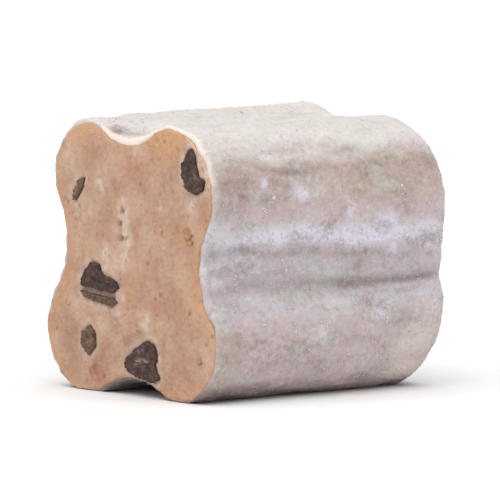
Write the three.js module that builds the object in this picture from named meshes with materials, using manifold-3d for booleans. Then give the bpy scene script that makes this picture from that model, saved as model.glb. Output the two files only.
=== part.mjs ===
// A chocolate truffle: a dusted block of caramel-coloured truffle mass with a four-lobed
// section, lying on its two lower lobes. One end is cut flat and shows the dark biscuit
// chips inside. The other end is softly rounded.
//
// Millimetres, +Z up. The length runs along Y, with the cut face towards -Y. The origin is
// the middle of the footprint's box, on the surface that the truffle rests on.
import * as THREE from "three";
import { mergeVertices } from "three/addons/utils/BufferGeometryUtils.js";
import Module from "manifold-3d";

// Driving dimensions of the block.
const LENGTH = 27.6;
const CUT_EDGE_ROUND = 0.35; // the soft edge round the cut face
const FAR_ROUND_LENGTH = 2.9; // how much of the length the far end's rounding takes
const FAR_ROUND_INSET = 3.2; // how far the rounding comes in from the sides
const FAR_DOME = 0.7; // how far the middle of the far end bulges out
const FAR_DOME_RADIUS = 13; // where that bulge has died away, from the middle
const SWELL_POWER = 0.7; // the section grows from cut to far end as share ** SWELL_POWER
const CORE_HEIGHT = 12; // height of the axis that both ends shrink towards

// Each section is four lobes joined by four hollow grooves, anticlockwise from the lower
// right as seen from the cut face. groove is the radius of the hollow after the lobe.
const CUT_SECTION = [
  { x: 6.95, z: 5.1, radius: 5.25, groove: 7.5 },
  { x: 5.7, z: 18.15, radius: 6.0, groove: 7.8 },
  { x: -5.95, z: 19.3, radius: 4.9, groove: 6.7 },
  { x: -6.15, z: 5.5, radius: 5.8, groove: 7.9 },
];
const FAR_SECTION = [
  { x: 5.3, z: 7.5, radius: 7.9, groove: 14.8 },
  { x: 5.8, z: 16.6, radius: 7.65, groove: 12.0 },
  { x: -5.0, z: 19.7, radius: 5.2, groove: 13.0 },
  { x: -5.6, z: 6.9, radius: 7.2, groove: 16.0 },
];

// Slow swells over the sides: waves round the block, waves along it, height and phase.
// They are missing at the cut and reach their full height at this share of the length.
const SWELLS_FULL = 0.2;
const SWELLS = [
  { round: 3, along: 1.3, height: 0.07, phase: 0.4 },
  { round: 7, along: 1.9, height: 0.045, phase: 1.9 },
  { round: 11, along: 3.1, height: 0.035, phase: 4.0 },
];

// The sharp crease low in the right-hand groove: which arc of the outline it is in and how far
// along it, its size, and the shares of the length where it starts and reaches full depth.
const CREASE = { arc: 1, fraction: 0.22, depth: 0.4, halfWidth: 0.7, start: 0.15, full: 0.6 };

// Biscuit chips in the cut face, each by its corners as [x, z].
const CHIP_STANDS = 0.2; // how far a chip stands out of the cut face
const CHIP_BURIED = 1.0;
const CHIP_BEVEL = 0.08;
const CHIPS = {
  upperRight: [
    [8.7, 22.5], [9.3, 21.7], [9.6, 20.0], [10.6, 19.6], [10.5, 18.9],
    [9.4, 18.3], [8.2, 18.8], [7.5, 19.8], [7.5, 20.8],
  ],
  upperLeftSliver: [
    [-6.4, 19.0], [-6.7, 18.0], [-7.6, 16.8], [-8.1, 16.9], [-7.9, 17.8], [-7.2, 18.7],
  ],
  middleLeft: [
    [-5.5, 11.5], [-4.4, 11.4], [-4.0, 10.6], [-2.0, 10.0],
    [-1.5, 9.4], [-2.4, 8.9], [-6.9, 9.3], [-6.5, 10.3],
  ],
  middleLeftSliver: [
    [-7.0, 8.9], [-4.0, 8.5], [-2.0, 8.4], [-1.6, 8.1], [-2.4, 7.7], [-6.4, 8.3],
  ],
  lowerLeft: [
    [-5.7, 5.9], [-5.0, 5.2], [-4.9, 4.1], [-5.7, 3.2], [-6.8, 4.0], [-6.8, 5.0],
  ],
  bottom: [
    [2.5, 5.1], [3.6, 4.7], [3.9, 3.7], [3.6, 2.8], [4.4, 1.8], [3.3, 1.4],
    [1.6, 1.6], [0.3, 2.0], [-0.6, 2.6], [-0.5, 3.2], [0.9, 4.2],
  ],
};

// Small air pits in the cut face, as [x, z].
const PIT_RADIUS = 0.28;
const PITS = [[-1.0, 16.3], [-1.2, 15.2], [-1.2, 13.9]];

// How finely the surface is divided.
const STEPS_AROUND = 128;
const CUT_CAP_RINGS = 2;
const FAR_CAP_RINGS = 5;
const CUT_EDGE_RINGS = 2;
const SIDE_RINGS = 19;
const FAR_ROUND_RINGS = 6;

const CUT_Y = -LENGTH / 2;
const FAR_RIM_Y = LENGTH / 2 - FAR_DOME;
const FAR_ROUND_START_Y = FAR_RIM_Y - FAR_ROUND_LENGTH;

const TAU = 2 * Math.PI;
const ARC_COUNT = 2 * CUT_SECTION.length;
const wrapped = (angle) => ((angle % TAU) + TAU) % TAU;
const directionTo = (from, to) => new THREE.Vector2().subVectors(to, from).angle();

// The centre of the hollow between two lobes: its circle lies outside and touches both.
function hollowCentre(lobe, next) {
  const toNext = new THREE.Vector2(next.x - lobe.x, next.z - lobe.z);
  const gap = toNext.length();
  const fromLobe = lobe.radius + lobe.groove;
  const fromNext = next.radius + lobe.groove;
  const along = (fromLobe ** 2 - fromNext ** 2 + gap ** 2) / (2 * gap);
  const aside = Math.sqrt(fromLobe ** 2 - along ** 2);
  toNext.normalize();
  return new THREE.Vector2(lobe.x, lobe.z)
    .addScaledVector(toNext, along)
    .addScaledVector(new THREE.Vector2(toNext.y, -toNext.x), aside);
}

// The closed outline of a section as arcs: lobe, hollow, lobe, hollow and so on. A lobe's
// arc turns anticlockwise and faces away from its centre, a hollow's arc the other way.
function arcsOf(section) {
  const lobes = section.map((lobe) => new THREE.Vector2(lobe.x, lobe.z));
  const hollows = section.map((lobe, i) => hollowCentre(lobe, section[(i + 1) % section.length]));
  return section.flatMap((lobe, i) => {
    const before = hollows.at(i - 1);
    const after = hollows[i];
    const next = lobes[(i + 1) % lobes.length];
    const lobeStart = directionTo(lobes[i], before);
    const hollowStart = directionTo(after, lobes[i]);
    return [
      {
        centre: lobes[i],
        radius: lobe.radius,
        start: lobeStart,
        sweep: wrapped(directionTo(lobes[i], after) - lobeStart),
        facing: 1,
      },
      {
        centre: after,
        radius: lobe.groove,
        start: hollowStart,
        sweep: -wrapped(hollowStart - directionTo(after, next)),
        facing: -1,
      },
    ];
  });
}

function pointOn(arc, fraction) {
  const angle = arc.start + arc.sweep * fraction;
  const direction = new THREE.Vector2(Math.cos(angle), Math.sin(angle));
  return {
    point: arc.centre.clone().addScaledVector(direction, arc.radius),
    outward: direction.multiplyScalar(arc.facing),
  };
}

const cutArcs = arcsOf(CUT_SECTION);
const farArcs = arcsOf(FAR_SECTION);
const arcLengths = cutArcs.map((arc) => arc.radius * Math.abs(arc.sweep));
const perimeter = arcLengths.reduce((sum, length) => sum + length, 0);

// Which arc a turn of 0 to 1 round the outline falls on, and how far along that arc.
function placeOf(turn) {
  let distance = turn * perimeter;
  let arc = 0;
  while (arc < ARC_COUNT - 1 && distance > arcLengths[arc]) {
    distance -= arcLengths[arc];
    arc += 1;
  }
  return { arc, fraction: distance / arcLengths[arc] };
}

// How far the surface stands out of the smooth section, at a share of the length.
function relief(turn, place, share) {
  let height = 0;
  for (const wave of SWELLS) {
    const phase = TAU * (wave.round * turn + wave.along * share) + wave.phase;
    height += wave.height * Math.cos(phase);
  }
  height *= THREE.MathUtils.smoothstep(share, 0, SWELLS_FULL);
  if (place.arc === CREASE.arc) {
    const aside = (place.fraction - CREASE.fraction) * arcLengths[CREASE.arc];
    const depth = CREASE.depth * THREE.MathUtils.smoothstep(share, CREASE.start, CREASE.full);
    height -= depth * Math.exp(-((aside / CREASE.halfWidth) ** 2));
  }
  return height;
}

// How far the rounded edges at the two ends come in from the sides, at a place along Y.
function inset(y) {
  const fromCut = Math.max(y - CUT_Y, 0);
  if (fromCut < CUT_EDGE_ROUND) {
    return CUT_EDGE_ROUND - Math.sqrt(CUT_EDGE_ROUND ** 2 - (CUT_EDGE_ROUND - fromCut) ** 2);
  }
  const sine = THREE.MathUtils.clamp((y - FAR_ROUND_START_Y) / FAR_ROUND_LENGTH, 0, 1);
  return FAR_ROUND_INSET * (1 - Math.sqrt(1 - sine ** 2));
}

// The block's surface where the outline has turned by turn at y. reach is 1 on the sides
// and falls to 0 in the middle of either end. The resting surface cuts the lobes flat.
function surfacePoint(turn, y, reach) {
  const place = placeOf(turn);
  const share = THREE.MathUtils.clamp(y / LENGTH + 0.5, 0, 1);
  const swell = share ** SWELL_POWER;
  const cut = pointOn(cutArcs[place.arc], place.fraction);
  const far = pointOn(farArcs[place.arc], place.fraction);
  const outward = cut.outward.lerp(far.outward, swell).normalize();
  const side = cut.point
    .lerp(far.point, swell)
    .addScaledVector(outward, relief(turn, place, share) - inset(y));
  const x = side.x * reach;
  const fromCore = (side.y - CORE_HEIGHT) * reach;
  const bulge = FAR_DOME * (1 - (x ** 2 + fromCore ** 2) / FAR_DOME_RADIUS ** 2);
  const atFarEnd = THREE.MathUtils.smoothstep(y, FAR_ROUND_START_Y, FAR_RIM_Y);
  return new THREE.Vector3(x, y + bulge * atFarEnd, Math.max(CORE_HEIGHT + fromCore, 0));
}

// The lathe profile: reach (1 on the sides, 0 on the axis) against the place along Y.
function profile() {
  const points = [];
  const add = (reach, y) => points.push(new THREE.Vector2(reach, y));
  for (let i = 0; i <= CUT_CAP_RINGS; i += 1) {
    add(i / CUT_CAP_RINGS, CUT_Y);
  }
  for (let i = 1; i <= CUT_EDGE_RINGS; i += 1) {
    const angle = (i / CUT_EDGE_RINGS) * (Math.PI / 2);
    add(1, CUT_Y + CUT_EDGE_ROUND * (1 - Math.cos(angle)));
  }
  for (let i = 1; i <= SIDE_RINGS; i += 1) {
    add(1, THREE.MathUtils.lerp(CUT_Y + CUT_EDGE_ROUND, FAR_ROUND_START_Y, i / SIDE_RINGS));
  }
  for (let i = 1; i <= FAR_ROUND_RINGS; i += 1) {
    const angle = (i / FAR_ROUND_RINGS) * (Math.PI / 2);
    add(1, FAR_ROUND_START_Y + FAR_ROUND_LENGTH * Math.sin(angle));
  }
  for (let i = FAR_CAP_RINGS - 1; i >= 0; i -= 1) {
    add(i / FAR_CAP_RINGS, FAR_RIM_Y);
  }
  return points;
}

// The block: a lathe form whose round section is reshaped into the lobed one.
function blockGeometry() {
  const geometry = new THREE.LatheGeometry(profile(), STEPS_AROUND);
  const position = geometry.getAttribute("position");
  for (let i = 0; i < position.count; i += 1) {
    const latheX = position.getX(i);
    const latheZ = position.getZ(i);
    const turn = wrapped(-Math.atan2(latheX, latheZ)) / TAU;
    const point = surfacePoint(turn, position.getY(i), Math.hypot(latheX, latheZ));
    position.setXYZ(i, point.x, point.y, point.z);
  }
  return geometry;
}

// A chip: its outline extruded from inside the block to just outside the cut face.
function chipGeometry(corners) {
  const outline = new THREE.Shape(corners.map(([x, z]) => new THREE.Vector2(x, z)));
  const geometry = new THREE.ExtrudeGeometry(outline, {
    depth: CHIP_BURIED + CHIP_STANDS - 2 * CHIP_BEVEL,
    bevelThickness: CHIP_BEVEL,
    bevelSize: CHIP_BEVEL,
    bevelOffset: -CHIP_BEVEL,
    bevelSegments: 1,
  });
  geometry.rotateX(Math.PI / 2);
  geometry.translate(0, CUT_Y + CHIP_BURIED - CHIP_BEVEL, 0);
  return geometry;
}

function pitGeometry([x, z]) {
  return new THREE.SphereGeometry(PIT_RADIUS, 8, 6).translate(x, CUT_Y, z);
}

const wasm = await Module();
wasm.setup();

function solidOf(geometry) {
  geometry.deleteAttribute("normal");
  geometry.deleteAttribute("uv");
  const merged = mergeVertices(geometry);
  const mesh = new wasm.Mesh({
    numProp: 3,
    vertProperties: merged.getAttribute("position").array,
    triVerts: new Uint32Array(merged.index.array),
  });
  return new wasm.Manifold(mesh);
}

function geometryOf(solid) {
  const mesh = solid.getMesh();
  return new THREE.BufferGeometry()
    .setAttribute("position", new THREE.BufferAttribute(mesh.vertProperties, 3))
    .setIndex(new THREE.BufferAttribute(mesh.triVerts, 1));
}

// Block, chips and pits as one body, moved so that its footprint's middle is the origin.
function truffleGeometry() {
  let solid = solidOf(blockGeometry());
  for (const corners of Object.values(CHIPS)) {
    solid = solid.add(solidOf(chipGeometry(corners)));
  }
  for (const pit of PITS) {
    solid = solid.subtract(solidOf(pitGeometry(pit)));
  }
  const geometry = geometryOf(solid);
  geometry.computeBoundingBox();
  const { min, max } = geometry.boundingBox;
  geometry.translate(-(min.x + max.x) / 2, -(min.y + max.y) / 2, -min.z);
  geometry.computeVertexNormals();
  return geometry;
}

const truffle = new THREE.Mesh(
  truffleGeometry(),
  new THREE.MeshStandardMaterial({ color: 0xc6a28b, roughness: 0.8, metalness: 0 }),
);
truffle.name = "truffle";

const group = new THREE.Group();
group.add(truffle);

export default group;
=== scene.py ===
"""A cut chocolate truffle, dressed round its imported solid.

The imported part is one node, a four-lobed block that lies on two of its lobes. The pieces made
here stand for it: the caramel mass with its cut face, the coat of powder on its sides and far
end, the biscuit chips and amber grains that show in the cut, and the crumbs lying on both.

Every surface is worked out in millimetres as a whole array and put into its mesh in metres.
turn goes from 0 to 1 round the block, anticlockwise as seen from the cut face, and share goes
from 0 at the cut to 1 at the far end.
"""
import math

import bmesh
import bpy
import numpy as np
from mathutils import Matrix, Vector


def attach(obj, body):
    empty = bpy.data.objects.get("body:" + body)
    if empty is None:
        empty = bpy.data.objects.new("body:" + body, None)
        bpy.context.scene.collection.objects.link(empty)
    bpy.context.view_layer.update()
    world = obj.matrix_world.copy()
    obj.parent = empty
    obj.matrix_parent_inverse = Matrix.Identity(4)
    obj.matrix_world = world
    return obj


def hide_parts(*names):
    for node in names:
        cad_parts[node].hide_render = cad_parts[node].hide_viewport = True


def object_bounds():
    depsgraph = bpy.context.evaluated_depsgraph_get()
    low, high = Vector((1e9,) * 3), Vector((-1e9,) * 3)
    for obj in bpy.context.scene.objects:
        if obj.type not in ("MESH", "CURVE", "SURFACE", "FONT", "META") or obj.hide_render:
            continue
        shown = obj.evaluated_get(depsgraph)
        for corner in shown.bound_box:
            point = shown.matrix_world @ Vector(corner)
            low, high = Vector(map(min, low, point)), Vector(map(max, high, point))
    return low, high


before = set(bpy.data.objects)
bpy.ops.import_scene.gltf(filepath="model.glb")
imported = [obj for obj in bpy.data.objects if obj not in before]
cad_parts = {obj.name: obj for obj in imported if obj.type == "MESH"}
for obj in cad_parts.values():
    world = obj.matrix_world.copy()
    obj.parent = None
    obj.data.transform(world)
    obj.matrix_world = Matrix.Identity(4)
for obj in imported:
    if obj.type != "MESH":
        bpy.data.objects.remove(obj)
cad_low, cad_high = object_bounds()

MM = 0.001
TAU = 2 * math.pi

# ---------------------------------------------------------------- sizes of the block, in mm

LENGTH = 27.6
FAR_ROUND_LENGTH = 2.9
FAR_ROUND_INSET = 3.2
FAR_DOME = 0.7
FAR_DOME_RADIUS = 13.0
SWELL_POWER = 0.7
CORE_HEIGHT = 12.0
CUT_Y = -LENGTH / 2
FAR_RIM_Y = LENGTH / 2 - FAR_DOME
FAR_ROUND_START_Y = FAR_RIM_Y - FAR_ROUND_LENGTH

# Each row is one lobe, anticlockwise from the lower right: centre x, centre z, radius, and
# the radius of the hollow between it and the next lobe.
CUT_SECTION = np.array(
    ((6.95, 5.1, 5.25, 7.5), (5.7, 18.15, 6.0, 7.8), (-5.95, 19.3, 4.9, 6.7), (-6.15, 5.5, 5.8, 7.9))
)
FAR_SECTION = np.array(
    ((5.3, 7.5, 7.9, 14.8), (5.8, 16.6, 7.65, 12.0), (-5.0, 19.7, 5.2, 13.0), (-5.6, 6.9, 7.2, 16.0))
)

# Slow swells of the sides: waves round the block, waves along it, height and phase.
SWELLS_FULL = 0.2
SWELLS = ((3, 1.3, 0.07, 0.4), (7, 1.9, 0.045, 1.9), (11, 3.1, 0.035, 4.0))

# The arcs of the outline are numbered from the lower right lobe, which is 0. Lobes are even.
RIGHT_HOLLOW, UPPER_RIGHT_LOBE, TOP_HOLLOW = 1, 2, 3

# The crease low in the right-hand hollow.
CREASE_FRACTION = 0.22
CREASE_DEPTH = 0.4
CREASE_HALF_WIDTH = 0.7
CREASE_START, CREASE_FULL = 0.15, 0.6

# The biscuit chips that show in the cut face, each by its corners as (x, z).
CHIPS = {
    "upper_right": (
        (8.7, 22.5), (9.3, 21.7), (9.6, 20.0), (10.6, 19.6), (10.5, 18.9),
        (9.4, 18.3), (8.2, 18.8), (7.5, 19.8), (7.5, 20.8),
    ),
    "upper_left": ((-6.4, 19.0), (-6.7, 18.0), (-7.6, 16.8), (-8.1, 16.9), (-7.9, 17.8), (-7.2, 18.7)),
    "middle_left": (
        (-5.5, 11.5), (-4.4, 11.4), (-4.0, 10.6), (-2.0, 10.0),
        (-1.5, 9.4), (-2.4, 8.9), (-6.9, 9.3), (-6.5, 10.3),
    ),
    "middle_left_sliver": ((-7.0, 8.9), (-4.0, 8.5), (-2.0, 8.4), (-1.6, 8.1), (-2.4, 7.7), (-6.4, 8.3)),
    "lower_left": ((-5.7, 5.9), (-5.0, 5.2), (-4.9, 4.1), (-5.7, 3.2), (-6.8, 4.0), (-6.8, 5.0)),
    "bottom": (
        (2.5, 5.1), (3.6, 4.7), (3.9, 3.7), (3.6, 2.8), (4.4, 1.8), (3.3, 1.4),
        (1.6, 1.6), (0.3, 2.0), (-0.6, 2.6), (-0.5, 3.2), (0.9, 4.2),
    ),
}


# ---------------------------------------------------------------- arrays and their formulas


def smoothstep(value, low, high):
    """0 below low, 1 above high, and the cubic 3t^2 - 2t^3 of the share t in between."""
    t = np.clip((value - low) / (high - low), 0, 1)
    return t * t * (3 - 2 * t)


def bump_at(distance, width):
    """A bell: 1 at distance 0, falling as the exponential of minus (distance / width) squared."""
    return np.exp(-((distance / width) ** 2))


def waves(points, wavelength, seed, count=40):
    """Random relief with a spread of 1: the sum of plane cosine waves in random directions.

    Each wave is 0.7 to 1.4 times as long as wavelength, and the sum is scaled by the square
    root of 2 / count, which gives it a standard deviation of 1.
    """
    rng = np.random.default_rng(seed)
    directions = rng.normal(size=(count, 3))
    directions /= np.linalg.norm(directions, axis=1)[:, None]
    numbers = TAU / (wavelength * rng.uniform(0.7, 1.4, count))
    phases = rng.uniform(0, TAU, count)
    total = np.zeros(points.shape[:-1])
    for direction, number, phase in zip(directions, numbers, phases):
        total += np.cos(points @ (direction * number) + phase)
    return total * math.sqrt(2 / count)


def angle_of(vectors):
    return np.arctan2(vectors[..., 1], vectors[..., 0])


class Outline:
    """A section's closed outline: lobe arcs joined by hollow arcs that touch them.

    The centre of a hollow is where circles round the two lobes' centres cross, each as wide
    as its lobe's radius and the hollow's radius together, on the outer side.
    """

    def __init__(self, section):
        lobes, radii, hollow_radii = section[:, :2], section[:, 2], section[:, 3]
        following = np.roll(lobes, -1, axis=0)
        to_next = following - lobes
        gap = np.linalg.norm(to_next, axis=1)
        reach = radii + hollow_radii
        reach_back = np.roll(radii, -1) + hollow_radii
        along = (reach**2 - reach_back**2 + gap**2) / (2 * gap)
        aside = np.sqrt(reach**2 - along**2)
        unit = to_next / gap[:, None]
        outward = np.stack([unit[:, 1], -unit[:, 0]], 1)
        hollows = lobes + unit * along[:, None] + outward * aside[:, None]

        lobe_start = angle_of(np.roll(hollows, 1, axis=0) - lobes)
        lobe_sweep = (angle_of(hollows - lobes) - lobe_start) % TAU
        hollow_start = angle_of(lobes - hollows)
        hollow_sweep = -((hollow_start - angle_of(following - hollows)) % TAU)
        self.centre = np.stack([lobes, hollows], 1).reshape(-1, 2)
        self.radius = np.stack([radii, hollow_radii], 1).ravel()
        self.start = np.stack([lobe_start, hollow_start], 1).ravel()
        self.sweep = np.stack([lobe_sweep, hollow_sweep], 1).ravel()
        self.facing = np.tile([1.0, -1.0], len(lobes))
        self.length = self.radius * np.abs(self.sweep)

    def at(self, arc, fraction):
        """The points, and the directions out of the block, a fraction of the way along arcs."""
        angle = self.start[arc] + self.sweep[arc] * fraction
        direction = np.stack([np.cos(angle), np.sin(angle)], -1)
        points = self.centre[arc] + self.radius[arc][..., None] * direction
        return points, direction * self.facing[arc][..., None]


CUT_OUTLINE = Outline(CUT_SECTION)
FAR_OUTLINE = Outline(FAR_SECTION)
ARC_ENDS = np.cumsum(CUT_OUTLINE.length) / CUT_OUTLINE.length.sum()
ARC_STARTS = np.concatenate([[0], ARC_ENDS[:-1]])


def place_of(turn):
    """Which arc of the cut outline a turn falls on, and how far along that arc."""
    turn = turn % 1.0
    arc = np.minimum(np.searchsorted(ARC_ENDS, turn), len(ARC_ENDS) - 1)
    return arc, (turn - ARC_STARTS[arc]) / (ARC_ENDS[arc] - ARC_STARTS[arc])


def turn_of(arc, fraction):
    return ARC_STARTS[arc] + (ARC_ENDS[arc] - ARC_STARTS[arc]) * fraction


def circle_of(turn):
    """Points on a flat circle with a radius of 1, where waves close without a seam."""
    return np.stack([np.cos(TAU * turn), np.sin(TAU * turn), np.zeros_like(turn)], -1)


def relief(turn, share):
    """The solid's own unevenness: slow waves, and the crease in the right-hand hollow."""
    height = np.zeros(np.broadcast(turn, share).shape)
    for round_, along, tall, phase in SWELLS:
        height += tall * np.cos(TAU * (round_ * turn + along * share) + phase)
    height *= smoothstep(share, 0, SWELLS_FULL)
    crease_turn = turn_of(RIGHT_HOLLOW, CREASE_FRACTION)
    aside = (turn - crease_turn) * CUT_OUTLINE.length.sum()
    depth = CREASE_DEPTH * smoothstep(share, CREASE_START, CREASE_FULL)
    return height - depth * bump_at(aside, CREASE_HALF_WIDTH)


def block(turn, y, reach, out=0.0, floor=0.0):
    """The block's surface, out millimetres outside the solid's.

    The outline is the cut's, moved towards the far end's by share to the power 0.7. The far
    rounding draws it in along a quarter ellipse, reach shrinks it towards the core, the far
    end bulges by one less the distance from the core squared, and floor cuts its foot flat.
    """
    turn, y, reach, out = np.broadcast_arrays(turn % 1.0, y, reach, out)
    arc, fraction = place_of(turn)
    share = np.clip(y / LENGTH + 0.5, 0, 1)
    swell = (share**SWELL_POWER)[..., None]
    cut, cut_outward = CUT_OUTLINE.at(arc, fraction)
    far, far_outward = FAR_OUTLINE.at(arc, fraction)
    outward = cut_outward + (far_outward - cut_outward) * swell
    outward /= np.linalg.norm(outward, axis=-1)[..., None]
    sine = np.clip((y - FAR_ROUND_START_Y) / FAR_ROUND_LENGTH, 0, 1)
    inset = FAR_ROUND_INSET * (1 - np.sqrt(1 - sine**2))
    side = cut + (far - cut) * swell + outward * (relief(turn, share) + out - inset)[..., None]
    x = side[..., 0] * reach
    from_core = (side[..., 1] - CORE_HEIGHT) * reach
    bulge = FAR_DOME * (1 - (x**2 + from_core**2) / FAR_DOME_RADIUS**2) + out
    far_end = smoothstep(y, FAR_ROUND_START_Y, FAR_RIM_Y)
    return np.stack([x, y + bulge * far_end, np.maximum(CORE_HEIGHT + from_core, floor)], -1)


def segment_distance(x, z, start, end):
    """Distance to a straight stretch: at a right angle to it, or past its ends to the nearer end."""
    dx, dz = end[0] - start[0], end[1] - start[1]
    along = np.clip(((x - start[0]) * dx + (z - start[1]) * dz) / (dx**2 + dz**2), 0, 1)
    return np.hypot(x - start[0] - along * dx, z - start[1] - along * dz)


def edge_distance(x, z, corners):
    """Distance to a closed outline, negative inside it, from the nearest of its edges.

    A point is inside if a line from it to the right crosses an odd number of edges.
    """
    nearest = np.full(x.shape, np.inf)
    inside = np.zeros(x.shape, bool)
    for (ax, az), (bx, bz) in zip(corners, np.roll(corners, -1, axis=0)):
        nearest = np.minimum(nearest, segment_distance(x, z, (ax, az), (bx, bz)))
        if az != bz:
            crossing = ax + (z - az) * (bx - ax) / (bz - az)
            inside ^= ((az > z) != (bz > z)) & (x < crossing)
    return np.where(inside, -nearest, nearest)


# The scene's block is set against the imported one: sides centred on the frame's box, and the
# far end on its far face; the foot stays at height 0.
_turns = np.arange(512) / 512
_sides = block(_turns[None], np.linspace(CUT_Y, FAR_RIM_Y, 200)[:, None], np.ones((1, 1)))
SHIFT = np.array(
    [
        (cad_low.x + cad_high.x) / 2 / MM - (_sides[..., 0].min() + _sides[..., 0].max()) / 2,
        cad_high.y / MM - LENGTH / 2,
        0.0,
    ]
)


# ---------------------------------------------------------------- meshes


def closed_faces(rows, columns):
    """The faces of a closed form whose first and last rows are single points, facing out."""
    start = 1 + np.arange(rows - 2)[:, None] * columns
    here = np.arange(columns)
    beside = (here + 1) % columns
    low, high = start[:-1], start[1:]
    quads = np.stack([low + here, high + here, high + beside, low + beside], -1).reshape(-1, 4)
    first = np.stack([np.zeros(columns, int), 1 + here, 1 + beside], -1)
    end = 1 + (rows - 2) * columns
    last_row = start[-1]
    last = np.stack([np.full(columns, end), last_row + beside, last_row + here], -1)
    return quads, np.concatenate([first, last])


def closed_points(grid):
    """The vertices that closed_faces numbers, from a grid of points or of values."""
    tail = grid.shape[2:]
    return np.concatenate(
        [grid[:1].mean(axis=1), grid[1:-1].reshape(-1, *tail), grid[-1:].mean(axis=1)]
    )


def make_piece(name, points, quads, triangles, finish, values=None):
    """A mesh object from points in mm, faces, a finish, and values at the points by name."""
    mesh = bpy.data.meshes.new(name)
    mesh.from_pydata(((points + SHIFT) * MM).tolist(), [], quads.tolist() + triangles.tolist())
    mesh.shade_smooth()
    for label, value in (values or {}).items():
        attribute = mesh.attributes.new(label, "FLOAT", "POINT")
        attribute.data.foreach_set("value", np.ascontiguousarray(value, np.float32))
    mesh.materials.append(finish)
    piece = bpy.data.objects.new(name, mesh)
    bpy.context.scene.collection.objects.link(piece)
    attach(piece, "root")
    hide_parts("truffle")
    return piece


def make_closed_form(name, grid, finish, values=None):
    """A closed form from a grid of points whose first and last rows are each one point."""
    quads, triangles = closed_faces(*grid.shape[:2])
    at_points = {label: closed_points(value) for label, value in (values or {}).items()}
    return make_piece(name, closed_points(grid), quads, triangles, finish, at_points)


# ---------------------------------------------------------------- shader maths


def srgb(red, green, blue):
    """A colour as a picture shows it, 0 to 255, as the linear colour that a shader takes."""
    shares = np.array([red, green, blue]) / 255
    linear = np.where(shares > 0.04045, ((shares + 0.055) / 1.055) ** 2.4, shares / 12.92)
    return (*linear.tolist(), 1.0)


class Signal:
    """A socket that can stand in an expression: each operator adds one Math node."""

    def __init__(self, finish, socket):
        self.finish = finish
        self.socket = socket

    def _maths(self, operation, first, second):
        return self.finish.node("ShaderNodeMath", {"operation": operation}, {0: first, 1: second})

    def __add__(self, other):
        return self._maths("ADD", self, other)

    def __sub__(self, other):
        return self._maths("SUBTRACT", self, other)

    def __rsub__(self, other):
        return self._maths("SUBTRACT", other, self)

    def __mul__(self, other):
        return self._maths("MULTIPLY", self, other)

    __radd__ = __add__
    __rmul__ = __mul__

    def step(self, low, high):
        """0 below low and 1 above high, smooth in between."""
        settings = {"interpolation_type": "SMOOTHSTEP", "clamp": True}
        return self.finish.node("ShaderNodeMapRange", settings, {"Value": self, 1: low, 2: high})


class Finish:
    """A material under construction: its nodes come from node(), its colours from mix()."""

    def __init__(self, name):
        self.material = bpy.data.materials.new(name)
        self.material.use_nodes = True
        self.tree = self.material.node_tree
        self.tree.nodes.clear()
        metres = self.node("ShaderNodeTexCoord", output="Object")
        inputs = {0: metres, "Scale": 1 / MM}
        self.place = self.node("ShaderNodeVectorMath", {"operation": "SCALE"}, inputs)

    def node(self, kind, settings=None, inputs=None, output=0):
        """Adds a node: its settings first, then its inputs as values or links."""
        node = self.tree.nodes.new(kind)
        for key, value in (settings or {}).items():
            setattr(node, key, value)
        for key, value in (inputs or {}).items():
            if isinstance(value, Signal):
                self.tree.links.new(value.socket, node.inputs[key])
            else:
                node.inputs[key].default_value = value
        return None if output is None else Signal(self, node.outputs[output])

    def mix(self, first, second, factor):
        """The colour first where factor is 0 and second where it is 1."""
        return self.node(
            "ShaderNodeMix",
            {"data_type": "RGBA", "clamp_factor": True},
            {"Factor": factor, 6: first, 7: second},
            output=2,
        )

    def noise(self, size, detail=3.0, roughness=0.55, stretch=None):
        """Noise from 0 to 1 whose lumps are about size millimetres wide, longer where stretch < 1."""
        place = self.place
        if stretch is not None:
            place = self.node("ShaderNodeVectorMath", {"operation": "MULTIPLY"}, {0: place, 1: stretch})
        inputs = {"Vector": place, "Scale": 1 / size, "Detail": detail, "Roughness": roughness}
        return self.node("ShaderNodeTexNoise", {}, inputs, output="Fac")

    def cells(self, size):
        """Scattered points about size millimetres apart: the distance to the nearest one."""
        inputs = {"Vector": self.place, "Scale": 1 / size}
        return self.node("ShaderNodeTexVoronoi", {}, inputs, output="Distance")

    def attribute(self, label):
        return self.node("ShaderNodeAttribute", {"attribute_name": label}, output="Fac")

    def bump(self, height, depth):
        """A normal from height, where a height of 1 stands depth millimetres out."""
        inputs = {"Strength": 1.0, "Distance": depth * MM, "Height": height}
        return self.node("ShaderNodeBump", {}, inputs, output="Normal")

    def surface(self, inputs):
        """Ends the material with a Principled shader that takes these inputs."""
        shader = self.node("ShaderNodeBsdfPrincipled", {}, inputs)
        self.node("ShaderNodeOutputMaterial", {}, {"Surface": shader}, output=None)
        return self.material


# ---------------------------------------------------------------- finishes


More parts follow.
